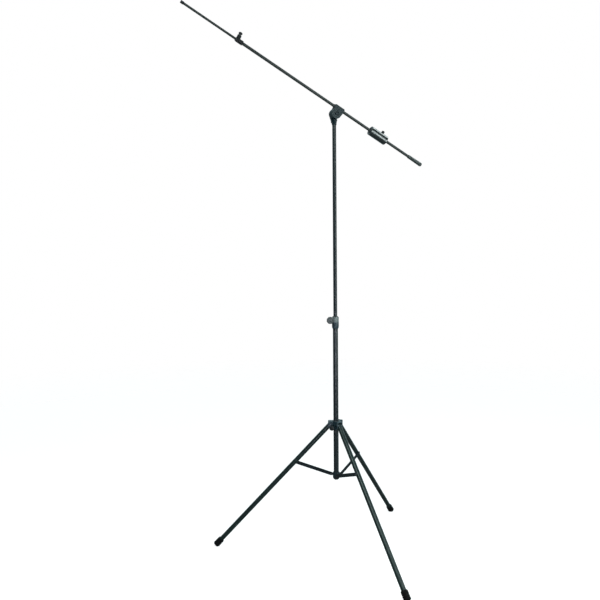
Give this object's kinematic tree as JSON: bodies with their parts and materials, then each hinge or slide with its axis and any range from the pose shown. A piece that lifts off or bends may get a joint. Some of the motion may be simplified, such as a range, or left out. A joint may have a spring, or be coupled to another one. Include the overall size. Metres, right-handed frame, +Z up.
{
  "type": "boom microphone stand",
  "caption": "Folding tripod stand with a telescopic column, swivel head and counterweighted telescopic boom that ends in a threaded microphone stud.",
  "frame": {"origin": "on the floor, under the column's axis, with the stand open on its three feet", "axes": "+Z up the column; the left leg points along -X and the boom's tip towards azimuth 210 degrees"},
  "size_m": [1.2643, 1.2398, 2.9356],
  "materials": {
    "black_tube": "satin black powder coat",
    "black_casting": "semi-gloss black cast metal",
    "counterweight": "semi-gloss black steel",
    "knob": "matt black moulded plastic",
    "rubber": "matt black rubber",
    "zinc_steel": "zinc-plated steel",
    "nylon": "dark grey nylon",
    "brass": "plain brass"
  },
  "bodies": {
    "column": {"lower_tube": "black_tube", "bottom_collar": "black_casting", "column_end_plug": "knob", "brace_pins": "zinc_steel", "height_clutch_collar": "black_casting", "height_clutch_bush": "nylon", "height_clutch_nut": "zinc_steel"},
    "height_clutch_washer_body": {"height_clutch_washer": "zinc_steel"},
    "height_clutch_knob_body": {"height_clutch_screw": "zinc_steel", "height_clutch_knob": "knob"},
    "hub": {"leg_hub": "black_casting", "hub_liner": "nylon", "leg_pivot_pins": "zinc_steel"},
    "hub_lock_pad_body": {"hub_lock_pad": "nylon"},
    "hub_lock_knob_body": {"hub_lock_screw": "zinc_steel", "hub_lock_knob": "knob"},
    "post_guide": {"post_guide_bush": "nylon"},
    "post": {"upper_tube": "black_tube", "post_end_cap": "nylon", "swivel_base": "black_casting", "swivel_friction_washer": "nylon"},
    "swivel": {"swivel_head": "black_casting", "swivel_bolt": "zinc_steel"},
    "swivel_washer_body": {"swivel_washer": "zinc_steel"},
    "swivel_knob_body": {"swivel_knob": "knob", "swivel_knob_insert": "brass"},
    "boom_liner_body": {"boom_liner": "nylon"},
    "boom": {"boom_tube": "black_tube", "boom_clutch": "black_casting", "boom_clutch_bush": "nylon", "rear_grip": "rubber"},
    "boom_clutch_pad_body": {"boom_clutch_pad": "nylon"},
    "boom_clutch_screw_body": {"boom_clutch_thumbscrew": "knob"},
    "extension_guide": {"extension_guide_bush": "nylon"},
    "extension": {"extension_tube": "black_tube", "mic_stud": "zinc_steel"},
    "weight_bushes": {"counterweight_bushes": "nylon"},
    "weight": {"counterweight": "counterweight"},
    "weight_pad_body": {"counterweight_pad": "nylon"},
    "weight_screw_body": {"counterweight_thumbscrew": "knob"},
    "leg_left": {"leg_tube_left": "black_tube", "leg_head_left": "black_casting", "foot_left": "rubber", "leg_bush_left": "nylon"},
    "brace_left_body": {"brace_left": "black_tube", "brace_rivet_left": "zinc_steel"},
    "leg_front": {"leg_tube_front": "black_tube", "leg_head_front": "black_casting", "foot_front": "rubber", "leg_bush_front": "nylon"},
    "brace_front_body": {"brace_front": "black_tube", "brace_rivet_front": "zinc_steel"},
    "leg_rear": {"leg_tube_rear": "black_tube", "leg_head_rear": "black_casting", "foot_rear": "rubber", "leg_bush_rear": "nylon"},
    "brace_rear_body": {"brace_rear": "black_tube", "brace_rivet_rear": "zinc_steel"}
  },
  "joints": [
    {"name": "hub_slide", "type": "slide", "parent": "column", "child": "hub", "axis": [0, 0, 1], "range_m": [0, 0.2338]},
    {"name": "leg_left_pivot", "type": "hinge", "parent": "hub", "child": "leg_left", "pos_m": [-0.035, 0, 0.716], "axis": [0, -1, 0], "range_deg": [0, 41.55]},
    {"name": "brace_left_pivot", "type": "hinge", "parent": "column", "child": "brace_left_body", "pos_m": [-0.029, 0, 0.428], "axis": [0, 1, 0], "range_deg": [0, 68.24]},
    {"name": "leg_front_pivot", "type": "hinge", "parent": "hub", "child": "leg_front", "pos_m": [0.0175, -0.03031, 0.716], "axis": [0.866, 0.5, 0], "range_deg": [0, 41.55]},
    {"name": "brace_front_pivot", "type": "hinge", "parent": "column", "child": "brace_front_body", "pos_m": [0.0145, -0.02511, 0.428], "axis": [-0.866, -0.5, 0], "range_deg": [0, 68.24]},
    {"name": "leg_rear_pivot", "type": "hinge", "parent": "hub", "child": "leg_rear", "pos_m": [0.0175, 0.03031, 0.716], "axis": [-0.866, 0.5, 0], "range_deg": [0, 41.55]},
    {"name": "brace_rear_pivot", "type": "hinge", "parent": "column", "child": "brace_rear_body", "pos_m": [0.0145, 0.02511, 0.428], "axis": [0.866, -0.5, 0], "range_deg": [0, 68.24]},
    {"name": "hub_lock_lift", "type": "slide", "parent": "hub", "child": "hub_lock_pad_body", "axis": [-0.5, -0.866, 0], "range_m": [0, 0.00125]},
    {"name": "hub_lock_turn", "type": "hinge", "parent": "hub_lock_pad_body", "child": "hub_lock_knob_body", "pos_m": [0, 0, 0.704], "axis": [-0.5, -0.866, 0], "range_deg": [0, 360]},
    {"name": "height_clutch_lift", "type": "slide", "parent": "column", "child": "height_clutch_washer_body", "axis": [0, -1, 0], "range_m": [0, 0.00125]},
    {"name": "height_clutch_turn", "type": "hinge", "parent": "height_clutch_washer_body", "child": "height_clutch_knob_body", "pos_m": [-0.028, 0, 1.312], "axis": [0, -1, 0], "range_deg": [0, 360]},
    {"name": "height_slide", "type": "slide", "parent": "column", "child": "post_guide", "axis": [0, 0, 1], "range_m": [-0.74, 0.03]},
    {"name": "pan_turn", "type": "hinge", "parent": "post_guide", "child": "post", "pos_m": [0, 0, 1.2], "axis": [0, 0, 1], "continuous": true},
    {"name": "boom_tilt", "type": "hinge", "parent": "post", "child": "swivel", "pos_m": [0, 0, 2.4587], "axis": [0.5, -0.866, 0], "range_deg": [-43.6, 86.4]},
    {"name": "swivel_lock_lift", "type": "slide", "parent": "post", "child": "swivel_washer_body", "axis": [-0.5, 0.866, 0], "range_m": [0, 0.00125]},
    {"name": "swivel_lock_turn", "type": "hinge", "parent": "swivel_washer_body", "child": "swivel_knob_body", "pos_m": [0, 0, 2.4587], "axis": [-0.5, 0.866, 0], "range_deg": [0, 360]},
    {"name": "boom_roll", "type": "hinge", "parent": "swivel", "child": "boom_liner_body", "pos_m": [0.02059, -0.00543, 2.48915], "axis": [-0.7757, -0.4479, 0.4446], "continuous": true},
    {"name": "boom_slide", "type": "slide", "parent": "boom_liner_body", "child": "boom", "axis": [-0.7757, -0.4479, 0.4446], "range_m": [-0.5, 0.12]},
    {"name": "boom_clutch_lift", "type": "slide", "parent": "boom", "child": "boom_clutch_pad_body", "axis": [0.3851, 0.2223, 0.8957], "range_m": [0, 0.00125]},
    {"name": "boom_clutch_turn", "type": "hinge", "parent": "boom_clutch_pad_body", "child": "boom_clutch_screw_body", "pos_m": [-0.48905, -0.29967, 2.78128], "axis": [0.3851, 0.2223, 0.8957], "range_deg": [0, 360]},
    {"name": "extension_slide", "type": "slide", "parent": "boom", "child": "extension_guide", "axis": [-0.7757, -0.4479, 0.4446], "range_m": [-0.28, 0.58]},
    {"name": "extension_roll", "type": "hinge", "parent": "extension_guide", "child": "extension", "pos_m": [-0.7334, -0.44075, 2.92134], "axis": [-0.7757, -0.4479, 0.4446], "continuous": true},
    {"name": "weight_slide", "type": "slide", "parent": "boom", "child": "weight_bushes", "axis": [-0.7757, -0.4479, 0.4446], "range_m": [-0.165, 0.065]},
    {"name": "weight_turn", "type": "hinge", "parent": "weight_bushes", "child": "weight", "pos_m": [0.2471, 0.12534, 2.35932], "axis": [-0.7757, -0.4479, 0.4446], "continuous": true},
    {"name": "weight_screw_lift", "type": "slide", "parent": "weight", "child": "weight_pad_body", "axis": [0.3851, 0.2223, 0.8957], "range_m": [0, 0.00125]},
    {"name": "weight_screw_turn", "type": "hinge", "parent": "weight_pad_body", "child": "weight_screw_body", "pos_m": [0.26416, 0.1352, 2.34954], "axis": [0.3851, 0.2223, 0.8957], "range_deg": [0, 360]}
  ],
  "couplings": [
    {"joint": "leg_left_pivot", "follows": "hub_slide", "rad_per_m": 3.1001},
    {"joint": "brace_left_pivot", "follows": "hub_slide", "rad_per_m": 5.0932},
    {"joint": "leg_front_pivot", "follows": "hub_slide", "rad_per_m": 3.1001},
    {"joint": "brace_front_pivot", "follows": "hub_slide", "rad_per_m": 5.0932},
    {"joint": "leg_rear_pivot", "follows": "hub_slide", "rad_per_m": 3.1001},
    {"joint": "brace_rear_pivot", "follows": "hub_slide", "rad_per_m": 5.0932},
    {"joint": "hub_lock_turn", "follows": "hub_lock_lift", "rad_per_m": 5026.5},
    {"joint": "height_clutch_turn", "follows": "height_clutch_lift", "rad_per_m": 5026.5},
    {"joint": "swivel_lock_turn", "follows": "swivel_lock_lift", "rad_per_m": 5026.5},
    {"joint": "boom_clutch_turn", "follows": "boom_clutch_lift", "rad_per_m": 5026.5},
    {"joint": "weight_screw_turn", "follows": "weight_screw_lift", "rad_per_m": 5026.5}
  ]
}
